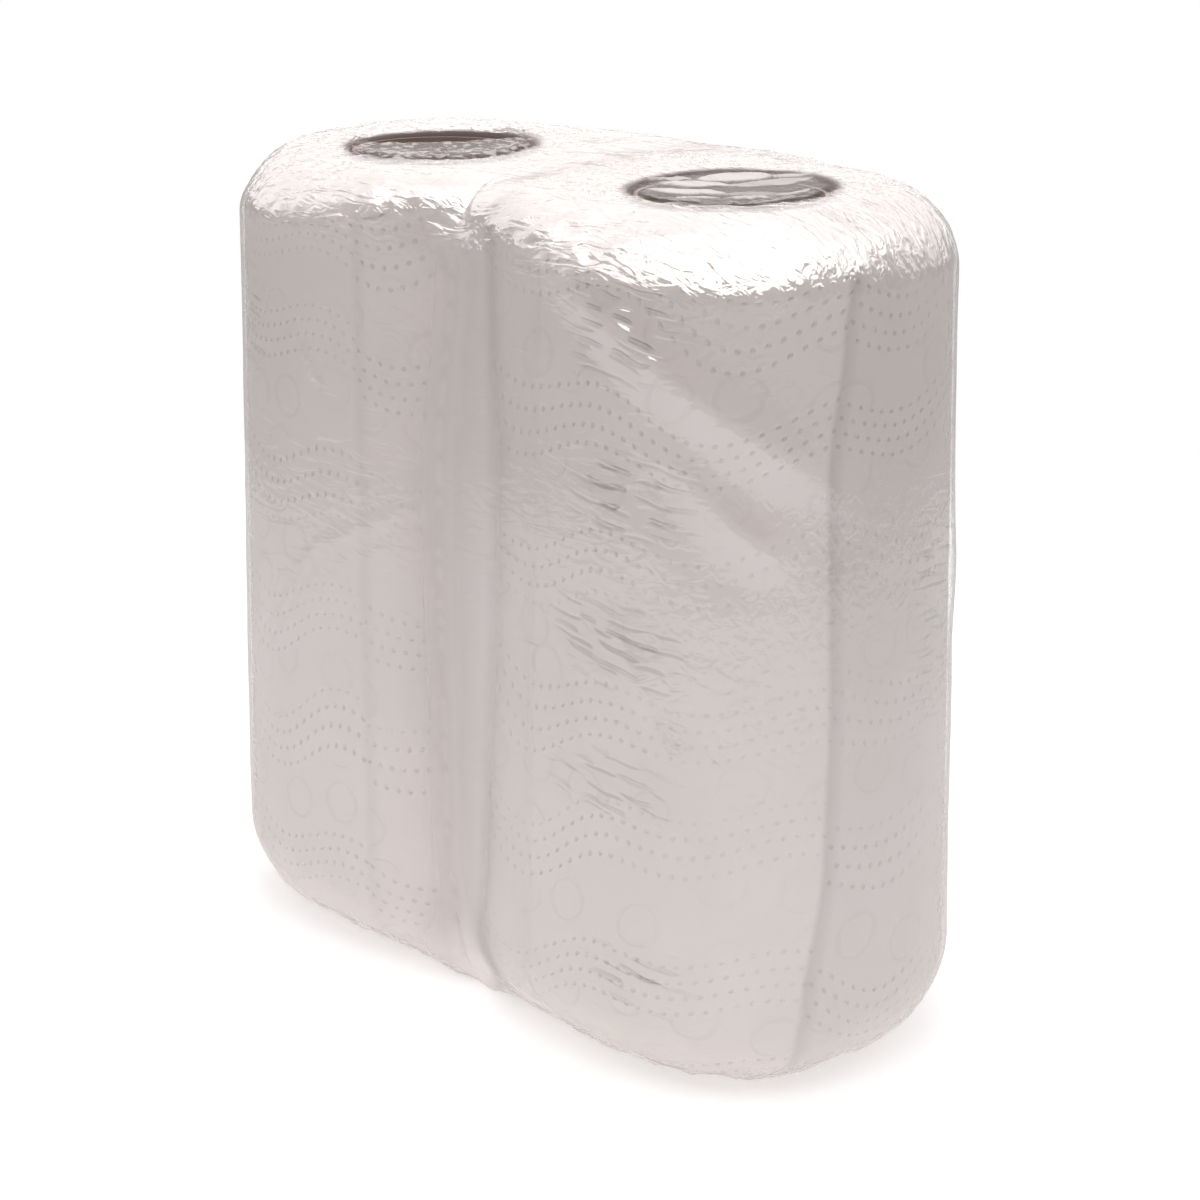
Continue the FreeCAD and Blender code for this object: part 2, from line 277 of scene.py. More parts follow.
# Blown polyethylene film, 0.04 mm: clear and glossy, and milky where it is slack and stands off the paper.
def makeFilmMaterial():
    material, tree = newMaterial("clearPolyethyleneFilm")
    place = addNode(tree, "ShaderNodeTexCoord")
    slack = addNode(tree, "ShaderNodeAttribute", {"attribute_name": "slack"})
    milky = addNode(tree, "ShaderNodeAttribute", {"attribute_name": "milky"})
    crinkled = addNode(tree, "ShaderNodeAttribute", {"attribute_name": "crinkled"})
    # drawn-out wrinkles, 2 to 3 mm apart on the ends
    turned = addNode(tree, "ShaderNodeMapping",
                     {"Rotation": (0, 0, math.radians(-28)), "Scale": (90, 420, 260)},
                     {"Vector": place.outputs["Object"]})
    wrinkle = addNode(tree, "ShaderNodeTexNoise",
                      {"Scale": 1.0, "Detail": 2.0, "Roughness": 0.5, "Distortion": 1.2},
                      {"Vector": turned.outputs[0]})
    shaped = addMaths(tree, "MULTIPLY", wrinkle.outputs[0], slack.outputs["Fac"])
    wrinkled = addNode(tree, "ShaderNodeBump", {"Strength": 1.0, "Distance": 0.0016}, {"Height": shaped})
    crests = addMaths(tree, "MULTIPLY", addCrinkles(tree, place.outputs["UV"]), crinkled.outputs["Fac"])
    crested = addNode(tree, "ShaderNodeBump", {"Strength": 0.4, "Distance": -0.0012},
                      {"Height": crests, "Normal": wrinkled.outputs["Normal"]})
    # die lines and grain of the film itself, about 1 mm
    grain = addNode(tree, "ShaderNodeTexNoise", {"Scale": 260.0, "Detail": 3.0},
                    {"Vector": place.outputs["Object"]})
    bump = addNode(tree, "ShaderNodeBump", {"Strength": 0.15, "Distance": 0.0004},
                   {"Height": grain.outputs[0], "Normal": crested.outputs["Normal"]})
    # a thin wrinkled film mirrors the same from inside and outside: 12% head on, 18% seen along it, and
    # more in a line round its outline; over a core it is slack and mirrors less
    share = addNode(tree, "ShaderNodeAttribute", {"attribute_name": "mirror"})
    edgeOn = addNode(tree, "ShaderNodeLayerWeight", {"Blend": 0.5}, {"Normal": bump.outputs["Normal"]})
    steep = addMaths(tree, "POWER", edgeOn.outputs["Facing"], 5.0)
    single = addMaths(tree, "ADD", addMaths(tree, "MULTIPLY", steep, 0.88), 0.12)
    rimLine = addStep(tree, edgeOn.outputs["Facing"], 0.9, 1.0, 0.0, 0.25)
    capped = addMaths(tree, "ADD", addMaths(tree, "MINIMUM", single, 0.18), rimLine)
    mirror = addMaths(tree, "MULTIPLY", capped, share.outputs["Fac"])
    gloss = addNode(tree, "ShaderNodeBsdfGlossy",
                    {"Color": (1, 1, 1, 1), "Roughness": 0.1}, {"Normal": bump.outputs["Normal"]})
    clear = addNode(tree, "ShaderNodeBsdfTransparent", {"Color": (0.98, 0.98, 0.98, 1)})
    mix = addNode(tree, "ShaderNodeMixShader", {}, {0: mirror, 1: clear.outputs[0], 2: gloss.outputs[0]})
    # the torn flap is gathered into white facets, 3 to 4 mm across, with clear folds between them
    gathered = addNode(tree, "ShaderNodeAttribute", {"attribute_name": "gathered"})
    stretched = addNode(tree, "ShaderNodeMapping",
                        {"Rotation": (0, 0, math.radians(-56)), "Scale": (240, 330, 240)},
                        {"Vector": place.outputs["Object"]})
    facets = addNode(tree, "ShaderNodeTexVoronoi", {"feature": "DISTANCE_TO_EDGE", "Scale": 1.0},
                     {"Vector": stretched.outputs[0]})
    facet = addStep(tree, facets.outputs["Distance"], 0.05, 0.3)
    white = addMaths(tree, "ADD", milky.outputs["Fac"],
                     addMaths(tree, "MULTIPLY", facet, gathered.outputs["Fac"]))
    # seen edge on, the film hides what is behind it
    hiding = addStep(tree, edgeOn.outputs["Facing"], 0.72, 0.88, 0.0, 0.9)
    cover = addMaths(tree, "MAXIMUM", white, addMaths(tree, "MULTIPLY", hiding, share.outputs["Fac"]))
    milk = addNode(tree, "ShaderNodeBsdfDiffuse", {"Color": srgb("EDE4E2")},
                   {"Normal": bump.outputs["Normal"]})
    shiny = addNode(tree, "ShaderNodeMixShader", {}, {0: mirror, 1: milk.outputs[0], 2: gloss.outputs[0]})
    surface = addNode(tree, "ShaderNodeMixShader", {},
                      {0: cover, 1: mix.outputs[0], 2: shiny.outputs[0]})
    addNode(tree, "ShaderNodeOutputMaterial", {}, {"Surface": surface.outputs[0]})
    return material


# Two-ply creped tissue, embossed between rollers: soft matt off-white, with rows of small pressed dots.
def makePaperMaterial():
    material, tree = newMaterial("embossedTowelTissue")
    place = addNode(tree, "ShaderNodeTexCoord")
    ends = addNode(tree, "ShaderNodeAttribute", {"attribute_name": "endFace"})
    crinkled = addNode(tree, "ShaderNodeAttribute", {"attribute_name": "crinkled"})
    cloud = addNode(tree, "ShaderNodeTexNoise", {"Scale": 22.0, "Detail": 2.0},
                    {"Vector": place.outputs["Object"]})
    tone = addNode(tree, "ShaderNodeMix", {"data_type": "RGBA", 6: srgb("EDE3E1"), 7: srgb("E8E0DB")},
                   {0: addStep(tree, cloud.outputs[0], 0.42, 0.62)})
    # the piece's map is in metres: along the paper, and up the roll
    spot = addNode(tree, "ShaderNodeSeparateXYZ", {}, {0: place.outputs["UV"]})
    along, up = spot.outputs[0], spot.outputs[1]
    wave = addMaths(tree, "SINE", addMaths(tree, "MULTIPLY", along, 2 * math.pi / 0.058))
    drift = addNode(tree, "ShaderNodeTexNoise", {"noise_dimensions": "2D", "Scale": 16.0, "Detail": 0.0},
                    {"Vector": place.outputs["UV"]})
    swing = addMaths(tree, "ADD", addMaths(tree, "MULTIPLY", wave, 0.004),
                     addMaths(tree, "MULTIPLY", drift.outputs[0], 0.022))
    raised = addMaths(tree, "ADD", up, swing)
    # round dots 1.5 mm across and 3.4 mm apart, in rows 4.6 mm apart, every other row shifted
    row = addMaths(tree, "DIVIDE", raised, 0.0046)
    shift = addMaths(tree, "MULTIPLY", addMaths(tree, "FLOOR", row), 0.5)
    column = addMaths(tree, "ADD", addMaths(tree, "DIVIDE", along, 0.0034), shift)
    offAlong = addMaths(tree, "SUBTRACT", addMaths(tree, "FRACT", column), 0.5)
    offAlong = addMaths(tree, "MULTIPLY", offAlong, 3.4)
    offUp = addMaths(tree, "SUBTRACT", addMaths(tree, "FRACT", row), 0.5)
    offUp = addMaths(tree, "MULTIPLY", offUp, 4.6)
    away = addMaths(tree, "SQRT", addMaths(tree, "ADD", addMaths(tree, "POWER", offAlong, 2.0),
                                           addMaths(tree, "POWER", offUp, 2.0)))
    dots = addStep(tree, away, 0.0, 0.85, 1.0, 0.0)
    bandWave = addMaths(tree, "SINE", addMaths(tree, "MULTIPLY", raised, 2 * math.pi / 0.034))
    band = addStep(tree, bandWave, -0.25, 0.15)
    # plain rings about 11 mm across in the bands without dots
    ringCells = addNode(tree, "ShaderNodeTexVoronoi",
                        {"voronoi_dimensions": "2D", "Scale": 52.0, "Randomness": 0.55},
                        {"Vector": place.outputs["UV"]})
    ringLine = addMaths(tree, "ABSOLUTE", addMaths(tree, "SUBTRACT", ringCells.outputs["Distance"], 0.29))
    ring = addStep(tree, ringLine, 0.0, 0.05, 0.4, 0.0)
    dotPart = addMaths(tree, "MULTIPLY", dots, band)
    ringPart = addMaths(tree, "MULTIPLY", ring, addMaths(tree, "SUBTRACT", 1.0, band))
    sides = addMaths(tree, "SUBTRACT", 1.0, ends.outputs["Fac"])
    # the pattern shows best in patches, 60 to 100 mm across, where the film lies tight on it
    tight = addNode(tree, "ShaderNodeTexNoise", {"noise_dimensions": "2D", "Scale": 13.0, "Detail": 1.0},
                    {"Vector": place.outputs["UV"]})
    clearly = addMaths(tree, "MULTIPLY", sides, addStep(tree, tight.outputs[0], 0.34, 0.54, 0.6, 1.0))
    pressed = addMaths(tree, "MULTIPLY", addMaths(tree, "ADD", dotPart, ringPart), clearly)
    emboss = addNode(tree, "ShaderNodeBump", {"Strength": 0.85, "Distance": -0.0005}, {"Height": pressed})
    crests = addMaths(tree, "MULTIPLY", addCrinkles(tree, place.outputs["UV"]), crinkled.outputs["Fac"])
    crested = addNode(tree, "ShaderNodeBump", {"Strength": 1.0, "Distance": -0.0014},
                      {"Height": crests, "Normal": emboss.outputs["Normal"]})
    # creping and fibres, about 1 mm
    crepe = addNode(tree, "ShaderNodeTexNoise", {"Scale": 700.0, "Detail": 3.0},
                    {"Vector": place.outputs["Object"]})
    bump = addNode(tree, "ShaderNodeBump", {"Strength": 0.25, "Distance": 0.0003},
                   {"Height": crepe.outputs[0], "Normal": crested.outputs["Normal"]})
    # painted shade in the pressed dots and rings, darker where they are pressed in
    dotShadeTone = addNode(tree, "ShaderNodeMix", {"data_type": "RGBA", 7: srgb("B8AEAB")},
                   {0: addMaths(tree, "MULTIPLY", pressed, 0.24), 6: tone.outputs[2]})
    # painted shade round each core's mouth: the paper near the bore, and further out on the mouth's near
    # side, is darkened as if in shadow
    paintedCoreShade = addNode(tree, "ShaderNodeAttribute", {"attribute_name": "paintedCoreShade"})
    coreShadedTone = addNode(tree, "ShaderNodeMix", {"data_type": "RGBA", 7: srgb("786A6B")},
                    {0: paintedCoreShade.outputs["Fac"], 6: dotShadeTone.outputs[2]})
    # the turn below lies in the shade of the loose last sheet
    shaded = addNode(tree, "ShaderNodeAttribute", {"attribute_name": "tailShade"})
    under = addNode(tree, "ShaderNodeMix", {"data_type": "RGBA", 7: srgb("A39A98")},
                    {0: shaded.outputs["Fac"], 6: coreShadedTone.outputs[2]})
    paper = addNode(tree, "ShaderNodeBsdfPrincipled",
                    {"Roughness": 0.9, "Specular IOR Level": 0.2},
                    {"Base Color": under.outputs[2], "Normal": bump.outputs["Normal"]})
    addNode(tree, "ShaderNodeOutputMaterial", {}, {"Surface": paper.outputs[0]})
    return material


# Spiral-wound core board: matt grey-brown recycled paper.
def makeBoardMaterial():
    material, tree = newMaterial("spiralCoreBoard")
    place = addNode(tree, "ShaderNodeTexCoord")
    pulp = addNode(tree, "ShaderNodeTexNoise", {"Scale": 260.0, "Detail": 4.0},
                   {"Vector": place.outputs["Object"]})
    tone = addNode(tree, "ShaderNodeMix",
                   {"data_type": "RGBA", 6: srgb("8C766B"), 7: srgb("A38D81")},
                   {0: pulp.outputs[0]})
    board = addNode(tree, "ShaderNodeBsdfPrincipled", {"Roughness": 0.85},
                    {"Base Color": tone.outputs[2]})
    addNode(tree, "ShaderNodeOutputMaterial", {}, {"Surface": board.outputs[0]})
    return material


filmMaterial = makeFilmMaterial()
paperMaterial = makePaperMaterial()
boardMaterial = makeBoardMaterial()
print("materials made")

# patches of crinkled film and paper: side, angle and height of the middle, their spreads, and strength;
# sides are -1 left and 1 right, angles are degrees about that core from the pack's +X
crinklePatches = [
    (1, -78, 191, 15, 10, 1.0),
    (1, -74, 153, 17, 9, 0.85),
    (1, -78, 118, 19, 9, 0.85),
    (1, -80, 82, 19, 8, 0.6),
    (1, -70, 33, 15, 8, 0.5),
    (1, 85, 150, 25, 25, 0.8),
    (1, 100, 70, 22, 20, 0.6),
    (1, 20, 120, 12, 30, 0.35),
    (-1, -118, 175, 9, 16, 0.35),
    (-1, 80, 160, 22, 22, 0.7),
    (-1, 110, 70, 22, 20, 0.6),
    (-1, 180, 110, 16, 30, 0.5),
]


def crinkleAt(side, angle, z):
    # how crinkled a spot is, 0 to 1
    most = 0.0
    for patchSide, middle, height, spread, tall, strength in crinklePatches:
        if patchSide != side:
            continue
        off = wrapAngle(angle - math.radians(middle)) / math.radians(spread)
        up = (z / mm - height) / tall
        most = max(most, strength * math.exp(-(off * off) ** 1.5 - (up * up) ** 1.5))
    return most


# the film: one skin over both rolls
filmLook = {
    "outerColumns": 200,
    "innerColumns": 30,
    "rows": {"hole": 40, "top": 32, "shoulder": 22, "side": 82, "heel": 14, "base": 10},
    "holeRadius": 24.3 * mm,
    "lipReach": 27 * mm,           # where the film starts to bend down into a core
    # side, angle and height at each end, rise and width in mm
    "folds": [
        (1, -100, 207, -22, 158, 2.0, 8),
        (1, -66, 168, -34, 140, 1.4, 6),
        (1, -60, 102, -60, 14, 0.7, 3.2),
        (1, -76, 120, -57, 84, 0.7, 4),
        (-1, -113, 84, -84, 116, 0.3, 1.7),
        (-1, -84, 116, -46, 135, 0.25, 1.7),
        (-1, -88, 172, -78, 160, 0.3, 1.7),
        (-1, -120, 190, -105, 150, 0.4, 3),
        (1, 60, 180, 110, 120, 0.6, 7),
        (1, 20, 150, 60, 90, 0.5, 6),
        (-1, 120, 170, 80, 110, 0.6, 7),
        (-1, 60, 90, 100, 50, 0.5, 5),
        (-1, 170, 120, 130, 80, 0.5, 5),
    ],
    "hoodSmoothing": 8,            # passes over the front crease's upper end
    "creaseRise": 0.2 * mm,
    "rimPleat": 0.7 * mm,
    "underPleat": 1.3 * mm,
    "milk": 0.06,                  # everywhere
    "topMilk": 0.12,
    "valleyMilk": 0.65,            # where the film stands off the paper between the rolls
    "footMilk": 0.25,              # where it is gathered under the pack
    "mouthMilk": {-1: 0.05, 1: 0.08},       # where it sags into a core
    "mouthMirror": {-1: 0.25, 1: 0.3},
}


def rowSection(row, rows):
    # the part of a piece that a row is on, and how far along it
    for name, count in rows.items():
        if row <= count:
            return name, row / count
        row -= count
    return name, 1.0


def skinPoint(column, row, look):
    # a point of the right half of the skin, before any wrinkle
    outer, inner = look["outerColumns"], look["innerColumns"]
    section, along = rowSection(row, look["rows"])
    if section == "side" and along == 1:
        section, along = "heel", 0.0
    height = packShape["height"]
    edge = packShape["valleyTopEdge"]
    if column <= outer:
        edge = topEdgeAt(0.84 * math.pi * (2 * column / outer - 1))
    z = height - edge
    if section == "side":
        z = blend(z, packShape["heelHeight"], along)
    if section in ("heel", "base"):
        z = packShape["heelHeight"]
    front, back = planAt(z, -1)["crease"], planAt(z, 1)["crease"]
    if column <= outer:
        angle = blend(-front, back, column / outer)
        plan = planAt(z, angle)
        end = skinRadius(angle, plan)
        square = facing(angle, plan)
    else:
        angle = blend(back, 2 * math.pi - front, (column - outer) / inner)
        plan = planAt(z, math.sin(angle))
        end = coreX / -math.cos(angle)
        square = facing(plan["crease"], plan)
    hole = look["holeRadius"]
    topInset = edge / square
    heel = heelInsetAt(angle)
    heelInset = heel / square
    if section == "hole":
        radius = hole * along
    elif section == "top":
        radius = blend(hole, end - topInset, along)
    elif section == "shoulder":
        radius = end - topInset * (1 - math.sin(along * math.pi / 2))
    elif section == "side":
        radius = end
    elif section == "heel":
        radius = end - heelInset * (1 - math.cos(along * math.pi / 2))
    else:
        radius = (end - heelInset) * (1 - along)
    x, y = radius * math.cos(angle), radius * math.sin(angle)
    if section in ("hole", "top", "shoulder"):
        z = height - quarterRound(edgeDistance(x, y, plan), edge, edge)
    elif section in ("heel", "base"):
        z = quarterRound(edgeDistance(x, y, plan), heel, packShape["heelHeight"])
    return Vector((x + coreX, y, z))


def foldList(look):
    # every fold as a side, two ends in metres along the outline and up, a rise and a width
    turn = math.radians(1) * packShape["meanRadius"]
    return [(side, Vector((startAngle * turn, startZ * mm)), Vector((endAngle * turn, endZ * mm)),
             rise * mm, width * mm)
            for side, startAngle, startZ, endAngle, endZ, rise, width in look["folds"]]


def foldRise(side, spot, folds):
    # a ridge with a soft hollow beside it
    total = 0
    for foldSide, start, end, rise, width in folds:
        if foldSide != side:
            continue
        reach = 3.5 * width
        if spot.y < min(start.y, end.y) - reach or spot.y > max(start.y, end.y) + reach:
            continue
        if spot.x < min(start.x, end.x) - reach or spot.x > max(start.x, end.x) + reach:
            continue
        run = end - start
        along = (spot - start).dot(run) / run.length_squared
        across = (spot - start).cross(run) / run.length
        taper = smoothStep(-0.15, 0.25, along) * smoothStep(1.15, 0.75, along)
        blunt = math.hypot(across, 0.4 * width) - 0.4 * width
        crest = math.exp(-blunt / width * 1.4) - 0.45 * hump(across - 1.7 * width, width)
        total += rise * taper * crest
    return total


def ridged(x, y, z=0.0):
    # noise with sharp crests, 0 to 1
    return 1 - min(abs(noise.noise(Vector((x, y, z)))) * 2.2, 1)


def topWrinkle(x, y):
    # long fine wrinkles across an end, mostly along the pack
    turn = math.radians(28)
    warp = 2.4 * mm * noise.noise(Vector((x, y, 0.3)) * 60)
    along = x * math.cos(turn) + y * math.sin(turn)
    across = y * math.cos(turn) - x * math.sin(turn) + warp
    coarse = ridged(along / (22 * mm), across / (5.5 * mm), 1.0)
    fine = ridged(along / (11 * mm), across / (2.6 * mm), 4.0)
    return (0.5 * coarse ** 3 + 0.5 * fine ** 2) * mm


# the film over the two cores, on axes along and across each mouth's long way, in mm
mouthLook = {
    "turn": {-1: 56, 1: 44},       # degrees of the long way from the pack's +X
    "halfLength": 25.5,
    "halfDepth": {-1: 27, 1: 24},
    "forward": {-1: 7, 1: 5.5},    # each crushed mouth reaches further on its near side
    "sag": {-1: 0.4, 1: 0.5},
    # big smooth wrinkles over the right core: middle, half length, half width, height, degrees of turn
    "lenses": [
        (1, 9.5, 10, 4.2, 1.9, 4),
        (-9, 3, 10, 2.4, 1.3, -14),
        (-11, -6, 11, 3.0, 1.5, -14),
        (9, 2.5, 12, 3.8, 0.7, 12),
        (4, -9.5, 12, 2.2, 0.5, -4),
        (-15, 9, 6, 1.8, 0.8, 12),
        (14, 9, 6, 1.8, 0.8, -18),
        (-8, -14, 6, 1.3, 0.8, -6),
        (4, -15.5, 6, 1.3, 0.8, 2),
        (14, -11, 5, 1.3, 0.7, 14),
    ],
    "pleat": 0.5,                  # height of the small pleats round the rim
    "lensMilk": 0.85,              # how white the big wrinkles are
    "gathered": 0.6,               # how white the facets of the torn flap are
    "tear": {"middle": 8.5, "halfLength": 22.5, "halfWidth": 9.5, "ragged": 2.2},
}


def lensPlace(side, x, y):
    # along and across the long way of a core's mouth; x and y are from the core
    turn = math.radians(mouthLook["turn"][side])
    return x * math.cos(turn) + y * math.sin(turn), y * math.cos(turn) - x * math.sin(turn)


def mouthShare(side, x, y):
    # how far out in the mouth a spot is, 0 at its middle and 1 at its rim
    a, b = lensPlace(side, x, y)
    along, across = mouthLook["halfLength"] * mm, mouthLook["halfDepth"][side] * mm
    b += mouthLook["forward"][side] * mm
    return math.sqrt((a / along) ** 2 + (b / across) ** 2)


def tearEdge(angle):
    # the torn mouth over the left core, from the core
    tear = mouthLook["tear"]
    turn = math.radians(mouthLook["turn"][-1])
    a, b = lensPlace(-1, math.cos(angle), math.sin(angle))
    bare = math.atan2(b, a)
    rough = noise.noise(Vector((math.cos(bare) * 9, math.sin(bare) * 9, 2.0))) * tear["ragged"] * mm
    a = tear["halfLength"] * mm * math.cos(bare)
    b = (tear["middle"] + tear["halfWidth"] * math.sin(bare)) * mm + rough * (1.0 if bare > 0 else 0.4)
    return Vector((a * math.cos(turn) - b * math.sin(turn), a * math.sin(turn) + b * math.cos(turn)))


def lensHeight(a, b):
    # the highest of the big wrinkles at a spot
    most, whitest = 0.0, 0.0
    for middleA, middleB, halfLength, halfWidth, height, degrees in mouthLook["lenses"]:
        turn = math.radians(degrees)
        offA, offB = a / mm - middleA, b / mm - middleB
        u = (offA * math.cos(turn) + offB * math.sin(turn)) / halfLength
        v = (offB * math.cos(turn) - offA * math.sin(turn)) / halfWidth
        inside = 1 - u * u - abs(v) ** 1.7
        if inside > 0:
            most = max(most, height * inside ** 0.8)
            whitest = max(whitest, smoothStep(0, 0.35, inside) * min(height, 1.0))
    return most * mm, whitest


def shapeMouth(side, x, y, z):
    # the film over a core: a torn mouth on the left, a creased sag on the right
    look = filmLook
    radius, angle = math.hypot(x, y), math.atan2(y, x)
    share = radius / look["holeRadius"]
    lip = 1 - smoothStep(look["holeRadius"] * 0.9, look["lipReach"], radius)
    z -= 0.3 * mm * lip
    pleat = ridged(math.cos(angle) * 5.2, math.sin(angle) * 5.2, 6.0) ** 2
    z += mouthLook["pleat"] * mm * pleat * hump(share - 0.95, 0.16)
    if share >= 1:
        return x, y, z
    sag = mouthLook["sag"][side] * mm
    if side < 0:
        edge = tearEdge(angle)
        rim = Vector((x, y)) / max(share, 1e-6)
        spot = edge.lerp(rim, share)
        a, b = lensPlace(side, spot.x, spot.y)
        z += (1 - share ** 5) * 0.4 * mm * noise.noise(Vector((a, b * 1.5, 0)) * 260)
        z -= sag * math.sin(min(share, 1) * math.pi) ** 2
        return spot.x, spot.y, z
    a, b = lensPlace(side, x, y)
    inside = smoothStep(1.0, 0.6, mouthShare(side, x, y))
    z += 0.6 * lensHeight(a, b)[0] * smoothStep(1.05, 0.8, mouthShare(side, x, y)) - sag * inside
    return x, y, z


def wrinkleFilm(bm, look, layers):
    folds = foldList(look)
    thinFolds = [fold for fold in folds if fold[4] < 2.5 * mm]
    bm.normal_update()
    normals = {vert: vert.normal.copy() for vert in bm.verts}
    height = packShape["height"]
    moved = {}
    for vert in bm.verts:
        point, normal = vert.co.copy(), normals[vert]
        side = -1 if point.x < 0 else 1
        x, y, z = point.x - side * coreX, point.y, point.z
        radius, angle = math.hypot(x, y), math.atan2(y, x)
        plan = planAt(z, y)
        own = angle if side > 0 else wrapAngle(math.pi - angle)
        standOff = skinRadius(own, plan) - outlineRadius(own, plan["grow"])
        valley = smoothStep(0, 20 * mm if side < 0 else 3 * mm, standOff)
        if side > 0:
            # the loose strip of film from the crease to the right roll
            valley = max(valley, 0.25 * smoothStep(-106, -109, math.degrees(angle)))
        top = smoothStep(height - 24 * mm, height - 6 * mm, z)
        under = smoothStep(26 * mm, 2 * mm, z)
        level = 1 - max(top, under)
        valley = max(valley, (1 + 0.15 * level) * hump(point.x - 5 * mm * level, 10 * mm))
        valley *= smoothStep(-12 * mm, -1 * mm, radius - outlineRadius(own, plan["grow"]))
        foot = smoothStep(34 * mm, 8 * mm, z)
        rise, creased = 0.0, 0.0
        slack = 0.12
        if level > 0:
            spot = Vector((angle * packShape["meanRadius"], z))
            wave = noise.noise(Vector((point.x * 26, y * 26, z * 20)))
            small = noise.noise(Vector((point.x * 110, y * 110, z * 80 + 3)))
            rise += level * (0.4 * wave + 0.1 * small + 0.2) * mm
            creased = min(abs(foldRise(side, spot, thinFolds)) / (0.3 * mm), 1) * level
            rise = max(rise + level * foldRise(side, spot, folds), -0.2 * mm)
            # the film is drawn a little straighter over the crease than the paper
            rise += level * look["creaseRise"] * hump(point.x, 16 * mm)
        # pleats where the film turns over the upper rim
        pleat = ridged(point.x * 145, y * 145, z * 26)
        rim = hump(z - (height - 11 * mm), 9 * mm)
        corner = 0.15 + 0.85 * abs(math.cos(angle)) ** 3
        rise += rim * corner * look["rimPleat"] * pleat ** 2
        slack += 0.2 * rim
        if top > 0:
            busy = 0.35 + 0.85 * hump(radius - 32 * mm, 15 * mm)
            rise += top * busy * topWrinkle(point.x, point.y)
            slack += 0.4 * top * busy
        if under > 0:
            pleats = ridged(point.x * 70, y * 70, z * 22 + 4)
            rise += under * look["underPleat"] * max(pleats - 0.3, -0.1)
            slack += 0.3 * under
        point += normal * rise
        if z > height - 24 * mm:
            # the bridge between the rolls sags, most near its two ends
            dip = 0.3 + 0.5 * hump(y - 27 * mm, 14 * mm)
            dip *= hump(point.x, 13 * mm)
            point.z -= dip * mm * top
            point.z -= top * endDrop(vert.co.x, y)
            newX, newY, newZ = shapeMouth(side, point.x - side * coreX, point.y, point.z)
            point = Vector((newX + side * coreX, newY, newZ))
            slack += 0.4 * hump(radius, look["holeRadius"])
        point.z = max(point.z, 0.15 * mm)
        crinkle = crinkleAt(side, angle, z) * level
        vert[layers["slack"]] = min(slack, 1.0)
        vert[layers["crinkled"]] = crinkle
        # the bridge between the rolls' ends is milky, but less so over the wide back valley
        bridge = 0.8 * top * hump(point.x, 11 * mm) * smoothStep(36 * mm, 22 * mm, y)
        # over a core the film is clear in a ring round its gathered middle
        share = mouthShare(side, point.x - side * coreX, point.y) if top > 0 else 2
        mouth, sagging = smoothStep(1.1, 0.97, share), smoothStep(0.95, 0.78, share)
        lens, gathered = 0.0, 0.0
        if mouth > 0 and side > 0:
            a, b = lensPlace(side, point.x - side * coreX, point.y)
            lens = lensHeight(a, b)[1] * smoothStep(1.02, 0.93, share)
        if mouth > 0 and side < 0:
            gathered = smoothStep(1.0, 0.88, share)
        vert[layers["gathered"]] = mouthLook["gathered"] * gathered
        vert[layers["mirror"]] = 1 - mouth * (0.95 - look["mouthMirror"][side] * sagging)
        # the film in the valley is crumpled and mirrors little
        vert[layers["mirror"]] -= 0.85 * level * hump(point.x, 16 * mm)
        vert[layers["milky"]] = ((look["milk"] + look["topMilk"] * top) * (1 - 0.9 * mouth)
                                 + look["mouthMilk"][side] * sagging
                                 + mouthLook["lensMilk"] * lens
                                 + look["valleyMilk"] * max(valley, bridge)
                                 + look["footMilk"] * foot + 0.1 * crinkle + 0.15 * creased)
        moved[vert] = point
    for vert, point in moved.items():
        vert.co = point


def mapFilm(bm, mapLayer):
    # a flat map in metres: round the roll, and up
    for face in bm.faces:
        middle = face.calc_center_median()
        side = -1 if middle.x < 0 else 1
        away = math.atan2(middle.y, middle.x - side * coreX)
        for loop in face.loops:
            spot = loop.vert.co
            angle = away + wrapAngle(math.atan2(spot.y, spot.x - side * coreX) - away)
            loop[mapLayer].uv = (angle * packShape["meanRadius"] + side * packShape["mapShift"], spot.z)


